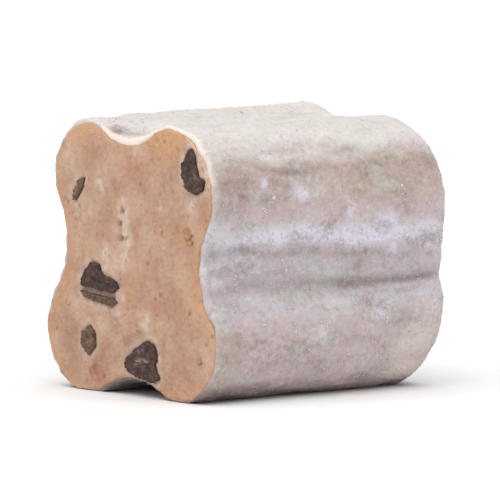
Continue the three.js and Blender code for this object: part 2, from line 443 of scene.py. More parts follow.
def caramel_finish():
    """The cut mass: tan caramel with pale cream, toasted and pink places, and a fine grain."""
    finish = Finish("caramel_mass")
    cloud = finish.noise(3.2, detail=2)
    grain = finish.noise(0.42, detail=4, roughness=0.7)
    crumb = finish.noise(1.1, detail=5, roughness=0.65)
    tint = finish.noise(1.5, detail=3, roughness=0.6, stretch=(1, 1, 0.7))
    colour = finish.mix(srgb(193, 151, 127), srgb(209, 172, 147), cloud.step(0.35, 0.65))
    colour = finish.mix(colour, srgb(180, 134, 109), crumb.step(0.5, 0.7) * 0.5)
    colour = finish.mix(colour, srgb(206, 152, 138), tint.step(0.53, 0.68) * 0.5)
    colour = finish.mix(colour, srgb(197, 166, 132), tint.step(0.47, 0.32) * 0.5)
    colour = finish.mix(colour, srgb(219, 168, 124), finish.attribute("toast"))
    colour = finish.mix(colour, srgb(196, 130, 110), finish.attribute("blush"))
    colour = finish.mix(colour, srgb(224, 199, 180), finish.attribute("cream"))
    # Darker places: ash, and painted shade beside the chips, along the left edge and over the lower left
    # lobe.
    colour = finish.mix(colour, srgb(148, 118, 104), finish.attribute("ash_and_shade"))
    colour = finish.mix(colour, srgb(222, 198, 176), grain.step(0.55, 0.75) * 0.5)
    colour = finish.mix(colour, srgb(170, 130, 108), grain.step(0.45, 0.3) * 0.35)
    fleck = finish.cells(1.9).step(0.16, 0.05)
    colour = finish.mix(colour, srgb(150, 108, 84), fleck * 0.6)
    normal = finish.bump(grain + crumb, 0.28)
    return finish.surface(
        {
            "Base Color": colour,
            "Roughness": 0.62 + crumb * 0.25,
            "Normal": normal,
            "Subsurface Weight": 0.12,
            "Subsurface Radius": (0.9, 0.5, 0.3),
            "Subsurface Scale": MM,
            "Specular IOR Level": 0.35,
        }
    )


def powder_finish():
    """The coat: grey-white powder, whiter on top, lilac where thick, mauve and brown where worn.

    Painted shade greys it in the hollows and darkens it underneath and along the crease, and painted
    light brightens it on the far rounding and along the front edge.
    """
    finish = Finish("powder_coat")
    drift = finish.noise(2.2, detail=4, roughness=0.6, stretch=(1, 0.55, 1))
    speckle = finish.noise(0.5, detail=5, roughness=0.75)
    dust = finish.noise(0.15, detail=3, roughness=0.7)
    smooth = 1.0 - finish.attribute("white") * 0.6
    mottle = drift * 0.5 + speckle * 0.5
    tint = finish.noise(1.7, detail=3, roughness=0.6, stretch=(1, 0.6, 1))
    # Worn crowns and far end, and undersides worn browner, partly as painted shade.
    colour = finish.mix(srgb(208, 199, 197), srgb(202, 180, 179), finish.attribute("worn_and_shaded"))
    colour = finish.mix(colour, srgb(190, 169, 159), finish.attribute("brown"))
    # Painted shade: greyer mauve in the hollows and on the upward face of the lower lobe.
    colour = finish.mix(colour, srgb(192, 181, 186), finish.attribute("hollow_shade"))
    colour = finish.mix(colour, srgb(206, 184, 186), tint.step(0.5, 0.66) * 0.55)
    colour = finish.mix(colour, srgb(196, 202, 194), tint.step(0.5, 0.34) * 0.5)
    # Lilac where the powder lies thick, painted light in two spots on the far rounding, and a painted
    # highlight along the front edge in the right hollow.
    colour = finish.mix(colour, srgb(229, 225, 238), finish.attribute("pale"))
    colour = finish.mix(colour, srgb(208, 203, 196), finish.attribute("white") * 0.75)
    colour = finish.mix(colour, srgb(146, 126, 118), mottle.step(0.52, 0.32) * smooth * 0.6)
    colour = finish.mix(colour, srgb(234, 230, 229), mottle.step(0.5, 0.7) * 0.5)
    # Darker places, mostly painted shade: underneath, under the ledge, along the crease and behind the top
    # hollow's lip.
    colour = finish.mix(colour, srgb(120, 102, 99), finish.attribute("shade_and_dark"))
    colour = finish.mix(colour, srgb(240, 236, 234), (dust + speckle * 0.5).step(0.8, 1.0) * 0.4)
    # Cream: along the front edge, partly a painted highlight on its rounding, and painted light low on the
    # far corner.
    colour = finish.mix(colour, srgb(248, 233, 219), finish.attribute("cream"))
    return finish.surface(
        {
            "Base Color": colour,
            "Roughness": 0.8 + dust * 0.15,
            "Normal": finish.bump((speckle + dust * 0.5) * smooth, 0.16),
            "Specular IOR Level": 0.2,
            "Sheen Weight": 0.15,
            "Sheen Roughness": 0.5,
        }
    )


def biscuit_finish():
    """Dark cocoa biscuit: near-black brown, with paler crumb and bright specks."""
    finish = Finish("cocoa_biscuit")
    crumb = finish.noise(0.7, detail=5, roughness=0.75, stretch=(1, 1, 1.6))
    specks = finish.cells(0.6).step(0.3, 0.12)
    colour = finish.mix(srgb(72, 52, 48), srgb(112, 88, 80), crumb.step(0.42, 0.72))
    colour = finish.mix(colour, srgb(160, 132, 120), specks * crumb.step(0.5, 0.7) * 0.6)
    toasted = finish.attribute("toasted") * crumb.step(0.3, 0.55)
    colour = finish.mix(colour, srgb(136, 108, 86), toasted)
    colour = finish.mix(colour, srgb(160, 138, 134), finish.attribute("streak"))
    return finish.surface(
        {
            "Base Color": colour,
            "Roughness": 0.6 + crumb * 0.3,
            "Normal": finish.bump(crumb, 0.22),
            "Specular IOR Level": 0.4,
        }
    )


def amber_finish():
    """Set caramel: amber, a little clear, with a duller skin in places."""
    finish = Finish("amber_caramel")
    cloud = finish.noise(0.6, detail=3)
    colour = finish.mix(srgb(170, 118, 84), srgb(192, 142, 104), cloud.step(0.35, 0.65))
    return finish.surface(
        {
            "Base Color": colour,
            "Roughness": 0.3 + cloud * 0.3,
            "Normal": finish.bump(cloud, 0.08),
            "Subsurface Weight": 0.3,
            "Subsurface Radius": (1.0, 0.5, 0.2),
            "Subsurface Scale": 0.6 * MM,
        }
    )


def crumb_finish():
    """Loose clumps of powder, whiter than the coat, with a little tan in some."""
    finish = Finish("powder_crumb")
    cloud = finish.noise(1.4, detail=3)
    grain = finish.noise(0.14, detail=3, roughness=0.7)
    colour = finish.mix(srgb(212, 202, 199), srgb(228, 224, 226), cloud.step(0.4, 0.6))
    colour = finish.mix(colour, srgb(192, 170, 160), grain.step(0.5, 0.75) * 0.5)
    return finish.surface(
        {
            "Base Color": colour,
            "Roughness": 0.85 + grain * 0.1,
            "Normal": finish.bump(grain, 0.08),
            "Specular IOR Level": 0.2,
        }
    )


# ---------------------------------------------------------------- the coat's depth

# Its least depth, what it gains on the right side and where it faces up, and what it gains in
# the right, top, left and bottom hollows.
COAT_THIN = 0.13
COAT_RIGHT = 0.07
COAT_SHOULDER = 0.22
COAT_IN_HOLLOWS = np.array((0.3, 0.55, 0.05, 0.0))
COAT_RING_RADIUS = 14.0

# How far the shell reaches into the mass, how much deeper both lie behind the cut's edge, and
# the least height of either above the floor.
COAT_LAP = 0.07
DEEPER_BEHIND = 0.3
INNER_FLOOR = 0.06


def coat_depth(turn):
    """How thick the powder is: thin below and on the left, most in the top and right hollows."""
    arc, fraction = place_of(turn)
    facing = CUT_OUTLINE.at(arc, fraction)[1]
    in_hollow = np.where(arc % 2 == 1, np.clip(np.sin(np.pi * fraction), 0, 1) ** 0.6, 0)
    depth = COAT_THIN + COAT_RIGHT * smoothstep(facing[..., 0], -0.3, 0.6)
    shoulder = COAT_SHOULDER * smoothstep(facing[..., 1], 0.0, 0.5)
    depth += shoulder + COAT_IN_HOLLOWS[arc // 2] * in_hollow
    ring = COAT_RING_RADIUS * circle_of(turn)
    return depth * (1 + 0.12 * waves(ring, 4.0, 43) + 0.05 * waves(ring, 1.4, 44))


def mass_depth(turn, y):
    """How far the mass's side lies inside the block's: the coat's depth, and more behind the cut."""
    return coat_depth(turn) + DEEPER_BEHIND * smoothstep(y, CUT_Y + 0.3, CUT_Y + 1.5)


# ---------------------------------------------------------------- the caramel mass

MASS_COLUMNS = 480
FACE_RINGS = 92
MASS_EDGE_ROUND = 0.2
MASS_EDGE_RINGS = 5
MASS_SIDE_RINGS = 22
FAR_ROUND_RINGS = 7
FAR_CAP_RINGS = 5
RINGS_WITHOUT_CRUMBS = 4

# The three pits beside the cream streak, and what is pale, toasted, pink, ashen or painted shade
# on the cut face: each spot by x, z, how wide it is and how strong.
PITS = ((-1.0, 16.3), (-1.2, 15.2), (-1.2, 13.9))
PIT_RADIUS = 0.28
PIT_DEPTH = 0.3
PIT_SHADES = tuple((*pit, PIT_RADIUS * 1.1, 0.85) for pit in PITS)
CREAM_STREAK = ((-0.9, 16.9), (-0.4, 13.6), (-0.9, 11.6))
CREAM_STREAK_WIDTH = 0.7
TOASTED_EDGE = 0.28
TOASTED_WIDTH = 1.1
CREAM_SPOTS = (
    (-3.3, 12.3, 1.1, 0.7), (-3.3, 11.3, 0.5, 0.9), (2.2, 6.7, 1.0, 0.9), (8.9, 17.2, 0.8, 0.8),
    (-4.1, 18.7, 1.2, 0.6), (-6.2, 16.0, 1.3, 0.4), (4.3, 17.0, 0.5, 0.6), (-1.0, 8.6, 0.5, 0.8),
    (10.3, 21.8, 1.1, 1.3), (11.2, 20.4, 1.0, 1.3), (-7.7, 7.4, 0.8, 0.5), (-3.8, 6.0, 0.9, 0.5),
    (-1.6, 7.2, 0.7, 0.6), (-2.2, 11.6, 1.1, 0.5), (-1.9, 14.5, 0.7, 0.4), (1.2, 22.0, 0.8, 0.6),
    (-8.5, 20.9, 1.5, 0.5), (11.3, 3.2, 1.6, 0.3),
)
TOAST_SPOTS = (
    (-7.0, 23.8, 2.0, 0.6), (5.4, 23.3, 2.6, 0.85), (8.1, 14.5, 0.9, 0.8), (-9.6, 9.0, 1.8, 0.3),
    (9.6, 9.0, 1.6, 0.3), (0.0, 9.3, 0.8, 0.5),
)
BLUSH_SPOTS = (
    (-4.9, 2.0, 1.1, 0.9), (10.2, 16.4, 0.9, 0.5), (-3.6, 4.0, 0.8, 0.35), (-9.3, 13.0, 1.2, 0.35),
    (4.0, 10.8, 0.7, 0.25), (0.8, 20.0, 1.6, 0.3),
)
# Ashen spots; those beside the chips, along the left edge and over the lower left lobe are painted shade.
ASH_AND_SHADE_SPOTS = (
    (10.0, 3.8, 0.5, 0.7), (1.5, 5.6, 0.45, 0.7), (1.1, 6.3, 0.25, 0.5), (6.3, 20.0, 0.8, 0.4),
    (-7.8, 8.8, 0.5, 0.4), (4.2, 12.0, 0.5, 0.3), (-4.95, 2.1, 0.45, 0.6),
    (-7.8, 4.2, 1.8, 0.25), (-4.0, 2.8, 2.2, 0.25), (-9.0, 11.0, 1.3, 0.2), (6.1, 18.0, 1.6, 0.25),
    (-0.4, 4.9, 0.8, 0.35), (-1.6, 3.4, 1.0, 0.35),
)
# The ashen gap between the two chips in the middle: both ends, width and how strong.
ASH_GAP = ((-6.5, 9.1), (-2.2, 8.65), 0.32, 0.85)


def spots(x, z, places):
    """Soft round spots, the strongest winning where two meet."""
    strength = np.zeros(x.shape)
    for spot_x, spot_z, width, strong in places:
        strength = np.maximum(strength, strong * bump_at(np.hypot(x - spot_x, z - spot_z), width))
    return strength


def face_relief(x, z):
    """How far the cut face stands out.

    Marks of the knife, long up and down, slow lumps and a fine grain, less a hollow round
    each chip, the pits beside the streak, and the bed that each chip sits in.
    """
    flat = np.stack([x, np.zeros_like(x), z], -1)
    height = 0.02 * waves(flat * (1, 1, 0.15), 0.8, 21) + 0.05 * waves(flat, 3.0, 22)
    height += 0.024 * waves(flat, 0.55, 23)
    for corners in CHIPS.values():
        distance = edge_distance(x, z, corners)
        height -= 0.14 * bump_at(distance, 0.22) + 0.3 * smoothstep(-distance, 0, 0.25)
    for pit_x, pit_z in PITS:
        height -= PIT_DEPTH * bump_at(np.hypot(x - pit_x, z - pit_z), PIT_RADIUS)
    return height


def face_tints(points, from_edge):
    """Where the cut face is cream, toasted, pink, ashen or painted shade, from its streak, spots and chips.
    """
    x, z = points[..., 0], points[..., 2]
    uneven = 1 + 0.35 * waves(points, 0.9, 31)
    halo = np.zeros(x.shape)
    for corners in CHIPS.values():
        halo = np.maximum(halo, bump_at(np.maximum(edge_distance(x, z, corners), 0), 0.55))
    streak = np.zeros(x.shape)
    for start, end in zip(CREAM_STREAK, CREAM_STREAK[1:]):
        streak = np.maximum(streak, bump_at(segment_distance(x, z, start, end), CREAM_STREAK_WIDTH))
    cream = np.maximum.reduce([0.75 * halo, streak, spots(x, z, CREAM_SPOTS)])
    toast = spots(x, z, TOAST_SPOTS) + TOASTED_EDGE * bump_at(from_edge, TOASTED_WIDTH)
    gap_start, gap_end, gap_width, gap_strong = ASH_GAP
    gap = gap_strong * bump_at(segment_distance(x, z, gap_start, gap_end), gap_width)
    ash_and_shade = np.maximum.reduce([spots(x, z, ASH_AND_SHADE_SPOTS) * uneven, spots(x, z, PIT_SHADES), gap])
    return {
        "cream": np.clip(cream * uneven, 0, 1),
        "toast": np.clip(toast * uneven, 0, 1),
        "blush": np.clip(spots(x, z, BLUSH_SPOTS) * uneven, 0, 1),
        "ash_and_shade": np.clip(ash_and_shade, 0, 1),
    }


def make_mass(finish):
    """The mass: face rings, a rounded edge, sides, the far rounding and the far cap.

    Row by row it is the block's surface, drawn in by the depth of the powder round it. The
    part of the cut face that crumbs may lie on is returned.
    """
    turn = np.arange(MASS_COLUMNS) / MASS_COLUMNS
    reach = np.linspace(0, 1, FACE_RINGS)
    edge = np.linspace(0, np.pi / 2, MASS_EDGE_RINGS)[1:]
    side = np.linspace(0, 1, MASS_SIDE_RINGS)[1:]
    rounding = np.sin(np.linspace(0, np.pi / 2, FAR_ROUND_RINGS)[1:])
    cap = np.linspace(1, 0, FAR_CAP_RINGS)[1:]
    side_start = CUT_Y + MASS_EDGE_ROUND
    rows_y = np.concatenate(
        [
            np.full(FACE_RINGS, CUT_Y),
            CUT_Y + MASS_EDGE_ROUND * (1 - np.cos(edge)),
            side_start + (FAR_ROUND_START_Y - side_start) * side,
            FAR_ROUND_START_Y + FAR_ROUND_LENGTH * rounding,
            np.full(len(cap), FAR_RIM_Y),
        ]
    )
    after = len(side) + len(rounding) + len(cap)
    rounded = MASS_EDGE_ROUND * (1 - np.sin(edge))
    drawn_in = np.concatenate([np.full(FACE_RINGS, MASS_EDGE_ROUND), rounded, np.zeros(after)])
    rows_reach = np.concatenate([reach, np.ones(len(edge) + len(side) + len(rounding)), cap])
    facing = np.concatenate([np.ones(FACE_RINGS), np.cos(edge), np.zeros(after)])
    out = -mass_depth(turn[None], rows_y[:, None]) - drawn_in[:, None]
    grid = block(turn[None], rows_y[:, None], rows_reach[:, None], out, floor=INNER_FLOOR)
    grid[..., 1] -= face_relief(grid[..., 0], grid[..., 2]) * facing[:, None]
    from_edge = (1 - rows_reach[:, None]) * np.hypot(grid[..., 0], grid[..., 2] - CORE_HEIGHT)
    make_closed_form("truffle_mass", grid, finish, face_tints(grid, from_edge))
    return grid[: FACE_RINGS - RINGS_WITHOUT_CRUMBS]


# ---------------------------------------------------------------- the coat of powder

COAT_COLUMNS = 430
LIP_ROWS = 7
COAT_SIDE_ROWS = 118
COAT_ROUND_ROWS = 22
COAT_CAP_ROWS = 34
INNER_ROWS = 14
INNER_BACK_ROWS = 7
INNER_CAP_ROWS = 6

# The front edge: how far it starts behind the cut and how long its rounding is, and how pale it
# is all round, in the top hollow, over the right shoulder and in the right hollow. The paleness is
# partly the powder's own cut edge and partly a painted highlight along its rounding.
LIP_SET_BACK = 0.05
LIP_LENGTH = 0.16
LIP_PALE = 0.1
LIP_TOP_PALE = 0.85
LIP_SHOULDER_PALE = 0.6
LIP_HOLLOW_PALE = 0.5

# How far the skin's patches, its middling and its fine lumps stand out and the crease's bottom
# lies in, how much thinner the white is, and how much of this the far end loses.
PATCH_HEIGHT = 0.07
MIDDLE_HEIGHT = 0.035
FINE_HEIGHT = 0.025
CREASE_BOTTOM = 0.1
WHITE_THINNER = 0.05
FAR_SMOOTHER = 0.65

# The ledge along the top of the right-hand hollow, the dark line under it, and the narrow
# bottom of the crease, which lies higher near the cut.
LEDGE_FRACTION = 0.8
LEDGE_DROP = 0.3
LEDGE_HEIGHT = 0.15
LEDGE_FADE = 1.7
LEDGE_END = 0.66
LEDGE_SHADOW = 0.24
LEDGE_SHADOW_BELOW = 0.74
LEDGE_SHADOW_DROP = 0.7
CREASE_HIGHER = 0.45

# How much painted shade the underside gets, how brown the coat is near the cut, low down, and how
# worn and how white it is on the far end.
UNDERSIDE_SHADE = 0.75
CUT_BROWN = 0.9
END_WORN = 0.4
END_WHITE = 0.45

# Places where the powder lies thick, two of them painted light on the far rounding, and darker
# places, mostly painted shade behind the top hollow's lip, under the crease and on the lower lobe:
# each by x, y and z, its half width along the block and across it, and how strong it is.
# Pale spots; the two at y 10.9, on the far rounding, are painted light.
PALE_AND_LIT_SPOTS = (
    (12.5, -4.2, 18.2, 1.2, 0.9, 0.6), (12.8, 1.0, 16.6, 0.6, 0.8, 0.9), (12.8, 4.6, 15.1, 2.9, 0.9, 1.0),
    (12.3, 6.2, 13.4, 0.6, 1.0, 0.8), (10.3, -12.4, 11.4, 1.2, 1.4, 0.8), (11.0, -9.3, 12.7, 1.5, 1.1, 0.7),
    (12.8, 4.5, 7.7, 1.3, 0.9, 0.9), (11.4, -10.5, 15.3, 2.2, 1.0, 0.8), (12.5, -2.1, 5.7, 0.8, 0.7, 0.45),
    (12.9, 10.9, 8.3, 1.0, 1.2, 0.3), (12.1, -8.3, 19.1, 0.3, 0.5, 1.0), (12.2, -5.2, 7.8, 0.3, 0.3, 1.0),
    (12.8, 10.9, 13.6, 1.4, 1.2, 0.7),
)
DARK_AND_SHADE_SPOTS = (
    (11.9, -11.6, 18.3, 1.7, 1.3, 0.8), (12.2, -8.3, 17.9, 0.9, 0.7, 0.5), (11.9, -4.5, 20.1, 2.6, 0.5, 0.8),
    (11.1, 1.6, 21.6, 1.8, 0.5, 0.7), (12.0, 5.1, 20.7, 1.6, 0.6, 0.45), (12.6, 8.2, 19.7, 1.4, 0.7, 0.35),
    (12.9, 7.5, 6.7, 1.8, 1.0, 0.6), (12.5, 1.0, 5.1, 1.2, 0.6, 0.45), (12.1, -11.4, 6.0, 1.3, 1.2, 0.35),
    (11.7, -11.4, 8.0, 2.4, 1.6, 0.2), (-2.6, -13.0, 23.2, 1.1, 0.9, 1.3), (-1.5, -12.3, 22.8, 1.0, 0.7, 0.9),
    (-2.2, 7.2, 24.1, 1.0, 0.4, 0.4), (12.2, -6.4, 19.2, 1.6, 0.7, 0.45), (12.5, 7.0, 9.4, 2.4, 0.6, 0.75),
)
# Painted light low on the far corner, each by x, y, z, half widths along and across, and strength.
FAR_CORNER_LIGHT = ((12.0, 8.9, 4.0, 2.2, 2.0, 0.35), (10.6, 8.4, 1.6, 2.2, 1.4, 0.65))


def coat_spots(points, places):
    """Soft spots, each a ball stretched along the block, the strongest winning where two meet."""
    strength = np.zeros(points.shape[:-1])
    for spot_x, spot_y, spot_z, along, across, strong in places:
        aside = np.hypot(points[..., 0] - spot_x, points[..., 2] - spot_z) / across
        away = np.hypot((points[..., 1] - spot_y) / along, aside)
        strength = np.maximum(strength, strong * bump_at(away, 1.0))
    return strength


def coat_skin(points, turn, share, on_side):
    """How far the powder's skin stands outside the block's, and its tints.

    Patches with soft edges, from waves that are longer along the block, stand out a little. A
    ledge runs along the top of the right-hand hollow and fades upwards, and the crease low in
    that hollow has a narrow bottom of its own. The coat is white on top, brown on the shoulders
    below that and near the cut low down, worn on the crowns of lobes that face sideways, and pale
    along the ledge and where lobes meet hollows. Painted shade greys it in the hollows and on the
    upward face of the lower lobe, darkens it under the ledge, along the crease and underneath, and
    adds to the worn brown on the undersides; painted light brightens two spots on the far rounding.
    """
    around = CUT_OUTLINE.length.sum()
    arc, fraction = place_of(turn)
    facing_up = CUT_OUTLINE.at(arc, fraction)[1][..., 1]
    on_lobe = arc % 2 == 0
    lengthwise = points * (1, 0.5, 1)
    slow = waves(lengthwise, 4.5, 11)
    middle = waves(lengthwise, 1.6, 12)
    fine = waves(points, 0.65, 13)
    wander = 0.25 * slow + 0.2 * middle

    wobble = 0.12 * np.cos(share * 9 + 1) + 0.07 * np.cos(share * 23)
    above = (turn - turn_of(RIGHT_HOLLOW, LEDGE_FRACTION)) * around + wobble + LEDGE_DROP * share
    ledge_shows = (1 - smoothstep(share, LEDGE_END - 0.1, LEDGE_END + 0.1)) * on_side
    ledge = smoothstep(above, -0.2, 0.15) * np.exp(-np.maximum(above, 0) / LEDGE_FADE) * ledge_shows
    shadow_above = above + LEDGE_SHADOW_BELOW + LEDGE_SHADOW_DROP * share
    ledge_shadow = LEDGE_SHADOW * bump_at(shadow_above, 0.5) * ledge_shows
    aside = (turn - turn_of(RIGHT_HOLLOW, CREASE_FRACTION)) * around + wobble
    aside -= CREASE_HIGHER * (1 - smoothstep(share, 0.3, 0.7))
    crease_grows = smoothstep(share, 0.35, 0.7) * on_side
    crease = bump_at(aside, 0.4) * crease_grows
    crease_shade = bump_at(aside, 0.8 - 0.35 * crease_grows) * (0.26 + 0.3 * crease_grows) * on_side
    patch = smoothstep(0.5 * slow + 0.6 * middle + 0.3 * fine, -0.6, 0.9)
    rise = PATCH_HEIGHT * (patch - 0.5) + MIDDLE_HEIGHT * middle + FINE_HEIGHT * fine
    rise += LEDGE_HEIGHT * ledge - CREASE_BOTTOM * crease

    height = points[..., 2]
    leaning = facing_up + 0.12 * wander
    white = smoothstep(facing_up + 0.3 * wander, 0.42, 0.95) * smoothstep(height, 13, 19)
    rise = (rise - WHITE_THINNER * white) * (1 - FAR_SMOOTHER * smoothstep(points[..., 1], 6, 11))
    low_down = 1 - smoothstep(height, 10, 14)
    crown = 1 - smoothstep(np.abs(leaning) - 0.15 * low_down, 0.3, 0.62)
    worn_and_shaded = np.where(on_lobe, crown, 0) * (1 - 0.4 * low_down)
    # Undersides browner: partly worn powder, partly painted shade.
    worn_and_shaded = np.maximum(worn_and_shaded, smoothstep(-facing_up, 0.4, 0.85))
    shoulder = smoothstep(leaning, -0.25, 0.15) * (1 - smoothstep(leaning, 0.45, 0.75))
    near_cut = 1 - smoothstep(share + 0.03 * wander, 0.02, 0.17)
    rubbed = CUT_BROWN * near_cut * (1 - smoothstep(height, 7, 10))
    brown = np.maximum(shoulder * smoothstep(height, 13, 16), rubbed)
    # Painted shade in the right, left and bottom hollows, and on the upward face of the lower lobe under the
    # upper one.
    hollow_shade = np.where(on_lobe | (arc == TOP_HOLLOW), 0, np.sin(np.pi * fraction)) ** 0.7
    lower_top = smoothstep(facing_up, 0.2, 0.65) * (1 - smoothstep(height, 10, 12))
    hollow_shade = np.maximum(hollow_shade, lower_top)
    from_join = np.minimum(fraction, 1 - fraction) * CUT_OUTLINE.length[arc]
    pale = bump_at(above - 0.8, 1.0) + 0.25 * bump_at(from_join, 1.3 - 0.5 * low_down)
    pale *= np.clip(1 + wander, 0.3, 1.3)
    uneven = np.clip(1 + 0.5 * middle + 0.3 * fine, 0.1, 1.6)
    # Pale where the powder lies thick, with painted light on the far rounding from two of the spots.
    pale = np.maximum(pale * on_side, coat_spots(points, PALE_AND_LIT_SPOTS) * uneven)
    # Painted shade underneath, under the ledge and along the crease, with the darker spots, most of them
    # painted shade too.
    further_back = smoothstep(share, 0.15, 0.45)
    underside = smoothstep(-facing_up, 0.6 + 0.2 * further_back, 0.87 + 0.12 * further_back)
    dark_spots = 0.55 * coat_spots(points, DARK_AND_SHADE_SPOTS) * uneven
    shade_and_dark = np.maximum.reduce([dark_spots, crease_shade, ledge_shadow, UNDERSIDE_SHADE * underside * on_side])
    tints = {
        "worn_and_shaded": np.clip(END_WORN + (worn_and_shaded - END_WORN) * on_side, 0, 1),
        "brown": brown * on_side,
        "hollow_shade": hollow_shade * on_side,
        "white": np.clip(white * (END_WHITE + (1 - END_WHITE) * on_side), 0, 1),
        "pale": np.clip(pale, 0, 1),
        "shade_and_dark": np.clip(shade_and_dark, 0, 0.9),
    }
    return rise, tints


def lip_tints(turn):
    """How cream and how lilac the coat's front edge is, and how far back that reaches in mm.

    It is cream in the top hollow and over the shoulder beside it, and lilac in the right one;
    part of this paleness is a painted highlight along the rounded edge.
    """
    arc, fraction = place_of(turn)
    facing_up = CUT_OUTLINE.at(arc, fraction)[1][..., 1]
    in_top = np.where(arc == TOP_HOLLOW, LIP_TOP_PALE, 0)
    shoulder = np.where(arc == UPPER_RIGHT_LOBE, LIP_SHOULDER_PALE * smoothstep(facing_up, 0.0, 0.3), 0)
    cream = (LIP_PALE + np.maximum(in_top, shoulder)) * smoothstep(facing_up, -0.85, -0.4)
    lilac = np.where(arc == RIGHT_HOLLOW, LIP_HOLLOW_PALE * smoothstep(np.sin(np.pi * fraction), 0, 0.6), 0)
    return cream, lilac, np.where(arc == TOP_HOLLOW, 0.15, 0.7)


def make_coat(finish):
    """The coat: a closed shell from its inner far pole, forward, round its lip and back outside.

    The lip is half an ellipse from the inner wall to the skin, bulging towards the cut, and
    its edge wanders a little along the block.
    """
    turn = np.arange(COAT_COLUMNS) / COAT_COLUMNS
    circle = circle_of(turn)
    wander = 0.08 * np.abs(waves(circle, 0.25, 41)) + 0.03 * np.abs(waves(circle, 0.07, 42))
    edge_y = CUT_Y + LIP_SET_BACK + wander

    rounding = np.sin(np.linspace(0, np.pi / 2, COAT_ROUND_ROWS)[1:])
    cap = np.linspace(1, 0, COAT_CAP_ROWS)[1:]
    side = np.linspace(0, 1, COAT_SIDE_ROWS)[1:, None]
    lip = np.linspace(-np.pi / 2, np.pi / 2, LIP_ROWS)[1:, None]
    side_start = edge_y[None] + LIP_LENGTH
    end_y = np.concatenate(
        [FAR_ROUND_START_Y + FAR_ROUND_LENGTH * rounding, np.full(len(cap), FAR_RIM_Y)]
    )
    outer_y = np.concatenate(
        [
            edge_y[None] + LIP_LENGTH * (1 - np.cos(lip)),
            side_start + (FAR_ROUND_START_Y - side_start) * side,
            np.tile(end_y[:, None], COAT_COLUMNS),
        ]
    )
    outer_reach = np.concatenate([np.ones(len(outer_y) - len(cap)), cap])[:, None]
    base = block(turn[None], outer_y, outer_reach)
    share = np.clip(outer_y / LENGTH + 0.5, 0, 1)
    on_side = 1 - smoothstep(outer_y, FAR_ROUND_START_Y, FAR_RIM_Y)
    rise, tints = coat_skin(base, turn[None], share, on_side)
    # The front edge's cream and lilac are partly its own colour and partly a painted highlight on its
    # rounding.
    cream, lilac, reach_back = lip_tints(turn)
    near_edge = 1 - smoothstep((outer_y - edge_y) / reach_back, 0.15, 1.0)
    # Cream along the front edge, partly painted highlight, and painted light low on the far corner.
    tints["cream"] = np.maximum(cream * near_edge, coat_spots(base, FAR_CORNER_LIGHT))
    tints["pale"] = np.maximum(tints["pale"], lilac * near_edge)
    inner = -coat_depth(turn)[None] - COAT_LAP
    inner_deep = inner - DEEPER_BEHIND
    lip_share = np.concatenate([(1 + np.sin(lip[:, 0])) / 2, np.ones(len(outer_y) - len(lip))])[:, None]
    outer = block(turn[None], outer_y, outer_reach, inner + (rise - inner) * lip_share)

    inner_share = np.linspace(1, 0, INNER_ROWS)[:, None] ** 2
    inner_y = side_start + (FAR_ROUND_START_Y - side_start) * inner_share
    inner_out = -mass_depth(turn[None], inner_y) - COAT_LAP
    inner_side = block(turn[None], inner_y, np.ones((1, 1)), inner_out, floor=INNER_FLOOR)
    back = np.sin(np.linspace(np.pi / 2, 0, INNER_BACK_ROWS)[:-1])[:, None]
    back_y = FAR_ROUND_START_Y + FAR_ROUND_LENGTH * back
    inner_back = block(turn[None], back_y, np.ones((1, 1)), inner_deep, floor=INNER_FLOOR)
    centre_out = np.linspace(0, 1, INNER_CAP_ROWS)[:-1, None]
    inner_cap = block(turn[None], np.full((1, 1), FAR_RIM_Y), centre_out, inner_deep, floor=INNER_FLOOR)
    grid = np.concatenate([inner_cap, inner_back, inner_side, outer])
    hidden = len(grid) - len(outer)
    values = {
        label: np.concatenate([np.zeros((hidden, COAT_COLUMNS)), np.broadcast_to(value, outer_y.shape)])
        for label, value in tints.items()
    }
    make_closed_form("powder_coat", grid, finish, values)
    return outer, tints


# ---------------------------------------------------------------- biscuit chips

CHIP_COLUMNS = 120
CHIP_RINGS = 16
CHIP_STANDS = 0.16
CHIP_BEVEL = 0.09
CHIP_BURIED = 0.8
CHIP_SPINE = 0.55

# How brown each of the paler chips is.
TOASTED_CHIPS = {"upper_left": 0.75, "middle_left_sliver": 0.6, "lower_left": 0.6}

# Paler streaks in the chips: both ends, half width and how strong.
CHIP_STREAKS = (
    ((0.9, 2.9), (1.8, 3.35), 0.16, 0.9),
    ((1.8, 3.35), (2.9, 3.2), 0.16, 0.9),
    ((1.3, 4.0), (2.2, 4.2), 0.15, 0.5),
    ((-5.6, 4.2), (-5.4, 4.6), 0.2, 0.9),
    ((9.3, 20.3), (9.6, 19.6), 0.2, 0.3),
    ((-7.6, 17.6), (-7.2, 18.2), 0.25, 0.4),
)


def chip_outline(corners):
    """A chip's outline: even steps along its edges, corners eased, and a crumbly wander."""
    corners = np.array(corners)
    following = np.roll(corners, -1, axis=0)
    area = np.sum(corners[:, 0] * following[:, 1] - following[:, 0] * corners[:, 1])
    if area < 0:
        corners = corners[::-1]
    loop = np.concatenate([corners, corners[:1]])
    walked = np.concatenate([[0], np.cumsum(np.linalg.norm(np.diff(loop, axis=0), axis=1))])
    steps = np.linspace(0, walked[-1], CHIP_COLUMNS, endpoint=False)
    points = np.stack([np.interp(steps, walked, loop[:, 0]), np.interp(steps, walked, loop[:, 1])], 1)
    eased = sum(np.roll(points, shift, axis=0) for shift in range(-2, 3)) / 5
    flat = np.stack([eased[:, 0], np.zeros(CHIP_COLUMNS), eased[:, 1]], 1)
    outward = eased - eased.mean(axis=0)
    outward /= np.linalg.norm(outward, axis=1)[:, None]
    return eased + outward * (0.05 * waves(flat, 0.5, 51))[:, None]


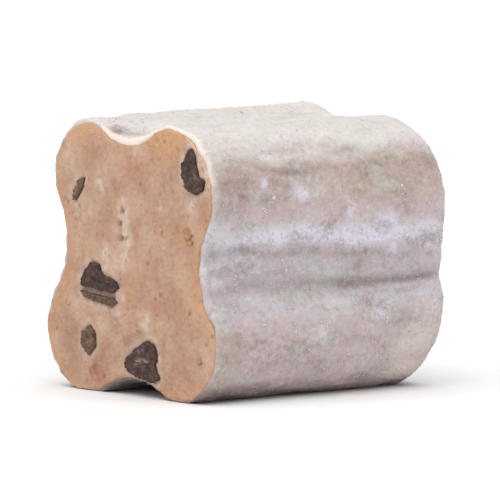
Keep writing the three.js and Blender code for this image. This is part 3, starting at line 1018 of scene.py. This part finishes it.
def chip_grid(corners):
    """A chip: rings from its spine to its edge, a bevel, and sides that taper into the mass.

    The spine is the middle of the chip's long axis, and each column runs to it from the edge.
    """
    edge = chip_outline(corners)
    middle = edge.mean(axis=0)
    axis = np.linalg.svd(edge - middle, full_matrices=False)[2][0]
    along = (edge - middle) @ axis
    spine = middle + np.clip(along, along.min() * CHIP_SPINE, along.max() * CHIP_SPINE)[:, None] * axis
    rings = np.linspace(0, 1, CHIP_RINGS)
    reach = np.concatenate([rings * 0.94, [0.985, 1.0, 0.97, 0.9, 0.0]])
    bevel_and_side = (CHIP_BEVEL * 0.3, CHIP_BEVEL, 0.45, CHIP_BURIED, CHIP_BURIED)
    depth = np.concatenate([np.zeros(CHIP_RINGS), bevel_and_side])
    flat = spine[None] + (edge - spine)[None] * reach[:, None, None]
    points = np.stack([flat[..., 0], np.zeros(flat.shape[:2]), flat[..., 1]], -1)
    crumbly = 0.045 * waves(points, 0.75, 52) + 0.03 * waves(points, 0.32, 53)
    shows = np.concatenate([np.ones(CHIP_RINGS + 2), [0, 0, 0]])[:, None]
    points[..., 1] = CUT_Y - CHIP_STANDS + depth[:, None] - crumbly * shows
    return points


def make_chips(finish):
    """All the chips as one piece, each a closed form of its own, with the paler streaks in them."""
    points, quads, triangles, toasted = [], [], [], []
    start = 0
    for name, corners in CHIPS.items():
        grid = chip_grid(corners)
        chip_quads, chip_triangles = closed_faces(*grid.shape[:2])
        points.append(closed_points(grid))
        quads.append(chip_quads + start)
        triangles.append(chip_triangles + start)
        toasted.append(np.full(len(points[-1]), TOASTED_CHIPS.get(name, 0.0)))
        start += len(points[-1])
    points = np.concatenate(points)
    streak = np.zeros(len(points))
    for line_start, line_end, width, strong in CHIP_STREAKS:
        away = segment_distance(points[:, 0], points[:, 2], line_start, line_end)
        streak = np.maximum(streak, strong * bump_at(away, width))
    streak *= np.clip(1 + 0.5 * waves(points, 0.5, 54), 0, 1.3)
    values = {"streak": streak, "toasted": np.concatenate(toasted)}
    make_piece("biscuit_chips", points, np.concatenate(quads), np.concatenate(triangles), finish, values)


# ---------------------------------------------------------------- lumps

POWDER_CLUMPS = 800
POWDER_GRAINS = 7000
MASS_CRUMBS = 260

# Each grain of set caramel by its x, its z and its size.
AMBER_GRAINS = ((8.3, 14.8, 0.5), (8.55, 14.1, 0.34), (10.0, 3.8, 0.3))


def ball(subdivisions):
    """The corners and faces of a ball of triangles with a radius of 1."""
    form = bmesh.new()
    bmesh.ops.create_icosphere(form, subdivisions=subdivisions, radius=1)
    corners = np.array([vertex.co for vertex in form.verts])
    faces = np.array([[vertex.index for vertex in face.verts] for face in form.faces])
    form.free()
    return corners, faces


def scatter(grid, density, count, rng):
    """Random places on a grid surface and the normals there, by each cell's area and density.

    A place is the cell's four corners mixed by two random shares.
    """
    beside = np.roll(grid, -1, axis=1)
    here, right, behind, across = grid[:-1], beside[:-1], grid[1:], beside[1:]
    normal = np.cross(behind - right, across - here)
    size = np.linalg.norm(normal, axis=-1)
    chance = (size * density[:-1]).ravel()
    picked = rng.choice(chance.size, count, p=chance / chance.sum())
    s, t = rng.uniform(size=(2, count, 1))
    cell = [part.reshape(-1, 3)[picked] for part in (here, right, behind, across)]
    places = (cell[0] * (1 - s) + cell[1] * s) * (1 - t) + (cell[2] * (1 - s) + cell[3] * s) * t
    return places, normal.reshape(-1, 3)[picked] / size.reshape(-1, 1)[picked]


def make_lumps(name, places, normals, sizes, form, finish, rng, flat=0.6, sunk=0.35):
    """Many lumps as one piece: a ball with uneven corners, turned at random, then flattened.

    A corner moves by up to 0.3 of the radius. Flattening leaves the share flat of each corner's
    reach along the surface's normal, and the lump is sunk by the share sunk of its own size.
    """
    corners, faces = form
    count = len(places)
    uneven = corners[None] * (1 + rng.uniform(-0.3, 0.3, (count, len(corners), 1)))
    turns = np.linalg.qr(rng.normal(size=(count, 3, 3)))[0]
    turns *= np.linalg.det(turns)[:, None, None]
    shaped = (uneven @ turns) * rng.uniform(0.7, 1.3, (count, 1, 3))
    along = np.sum(shaped * normals[:, None], axis=2, keepdims=True)
    shaped -= (1 - flat) * along * normals[:, None]
    middle = places + normals * (sizes * (flat - sunk))[:, None]
    points = middle[:, None] + shaped * sizes[:, None, None]
    numbered = faces[None] + np.arange(count)[:, None, None] * len(corners)
    make_piece(name, points.reshape(-1, 3), np.zeros((0, 4), int), numbered.reshape(-1, 3), finish)


def make_amber_grains(finish):
    """Grains of set caramel in the cut face, as low domes."""
    rng = np.random.default_rng(61)
    x, z, sizes = np.array(AMBER_GRAINS).T
    places = np.stack([x, np.full(len(x), CUT_Y), z], 1)
    normals = np.tile([0.0, -1.0, 0.0], (len(places), 1))
    make_lumps("amber_grains", places, normals, sizes, ball(3), finish, rng, flat=0.3, sunk=0.27)


def make_powder_lumps(outer, tints, finish):
    """Clumps and grains of powder lying on the coat, more of them where it lies thick."""
    rng = np.random.default_rng(71)
    above_floor = outer[..., 2] > 0.6
    clustered = smoothstep(waves(outer, 2.4, 72), 0, 1.6)
    bare = 0.85 * np.maximum(tints["white"], tints["brown"])
    density = (0.1 + 0.6 * tints["pale"]) * (0.15 + clustered) * (1 - bare) * above_floor
    places, normals = scatter(outer, density, POWDER_CLUMPS, rng)
    sizes = 0.05 + 0.1 * rng.uniform(size=len(places)) ** 4
    make_lumps("powder_clumps", places, normals, sizes, ball(1), finish, rng, flat=0.55, sunk=0.2)
    places, normals = scatter(outer, density, POWDER_GRAINS, rng)
    sizes = 0.025 + 0.06 * rng.uniform(size=len(places)) ** 2
    make_lumps("powder_grains", places, normals, sizes, ball(1), finish, rng, flat=0.7, sunk=0.2)


def make_mass_crumbs(face, finish):
    """Fine crumbs of the mass that the knife left on the cut face."""
    rng = np.random.default_rng(81)
    radius = np.hypot(face[..., 0], face[..., 2] - CORE_HEIGHT)
    places, normals = scatter(face, 0.3 + radius / 10, MASS_CRUMBS, rng)
    sizes = 0.03 + 0.08 * rng.uniform(size=len(places)) ** 3
    make_lumps("mass_crumbs", places, normals, sizes, ball(1), finish, rng, flat=0.6, sunk=0.2)


# ---------------------------------------------------------------- camera, light and floor

AZIMUTH, ELEVATION = math.radians(50.7), math.radians(5.0)
CAMERA_DISTANCE = 560.0
AIM = np.array([0.0, 0.0, 12.15])
LENS_MM, SENSOR_MM = 450.0, 36.0
FLOOR_HALF_METRES = 3.0
FLOOR_GAP = 0.02
WORLD_LIGHT = 0.62
SUN_DIRECTION = (0.12, -0.22, 1.0)
SUN_SPREAD_DEGREES = 80
SUN_POWER = 2.2


def to_world(point):
    return Vector(((np.array(point) + SHIFT) * MM).tolist())


def add_camera():
    """The camera at the photograph's angle, looking at the middle of the block."""
    camera = bpy.data.cameras.new("camera")
    camera.lens = LENS_MM
    camera.sensor_width = SENSOR_MM
    camera.clip_start = 0.01
    camera.clip_end = 50
    holder = bpy.data.objects.new("camera", camera)
    back = Vector(
        (
            math.sin(AZIMUTH) * math.cos(ELEVATION),
            -math.cos(AZIMUTH) * math.cos(ELEVATION),
            math.sin(ELEVATION),
        )
    )
    holder.location = to_world(AIM) + back * CAMERA_DISTANCE * MM
    holder.rotation_euler = back.to_track_quat("Z", "Y").to_euler()
    bpy.context.scene.collection.objects.link(holder)
    bpy.context.scene.camera = holder


def add_sun():
    """A wide soft light from above, a little to the right and in front of the cut."""
    light = bpy.data.lights.new("overhead", "SUN")
    light.angle = math.radians(SUN_SPREAD_DEGREES)
    light.energy = SUN_POWER
    holder = bpy.data.objects.new("overhead", light)
    holder.rotation_euler = Vector(SUN_DIRECTION).to_track_quat("Z", "Y").to_euler()
    bpy.context.scene.collection.objects.link(holder)


def add_floor():
    """A wide plain floor, almost white, just under the block."""
    finish = Finish("floor")
    cloud = finish.noise(400, detail=2)
    colour = finish.mix((0.86, 0.86, 0.86, 1), (0.88, 0.88, 0.88, 1), cloud)
    material = finish.surface({"Base Color": colour, "Roughness": 0.9, "Specular IOR Level": 0.1})
    half, low = FLOOR_HALF_METRES, -FLOOR_GAP * MM
    corners = [(-half, -half, low), (half, -half, low), (half, half, low), (-half, half, low)]
    mesh = bpy.data.meshes.new("floor")
    mesh.from_pydata(corners, [], [(0, 1, 2, 3)])
    mesh.materials.append(material)
    floor = bpy.data.objects.new("floor", mesh)
    bpy.context.scene.collection.objects.link(floor)


def add_world():
    """Even white light from all round, with colours shown as they are."""
    world = bpy.data.worlds.new("studio")
    world.use_nodes = True
    background = world.node_tree.nodes["Background"]
    background.inputs["Color"].default_value = (1, 1, 1, 1)
    background.inputs["Strength"].default_value = WORLD_LIGHT
    bpy.context.scene.world = world
    bpy.context.scene.view_settings.view_transform = "Standard"


add_camera()
add_world()
add_floor()
add_sun()

face = make_mass(caramel_finish())
outer, tints = make_coat(powder_finish())
make_chips(biscuit_finish())
make_amber_grains(amber_finish())
make_powder_lumps(outer, tints, crumb_finish())
make_mass_crumbs(face, caramel_finish())
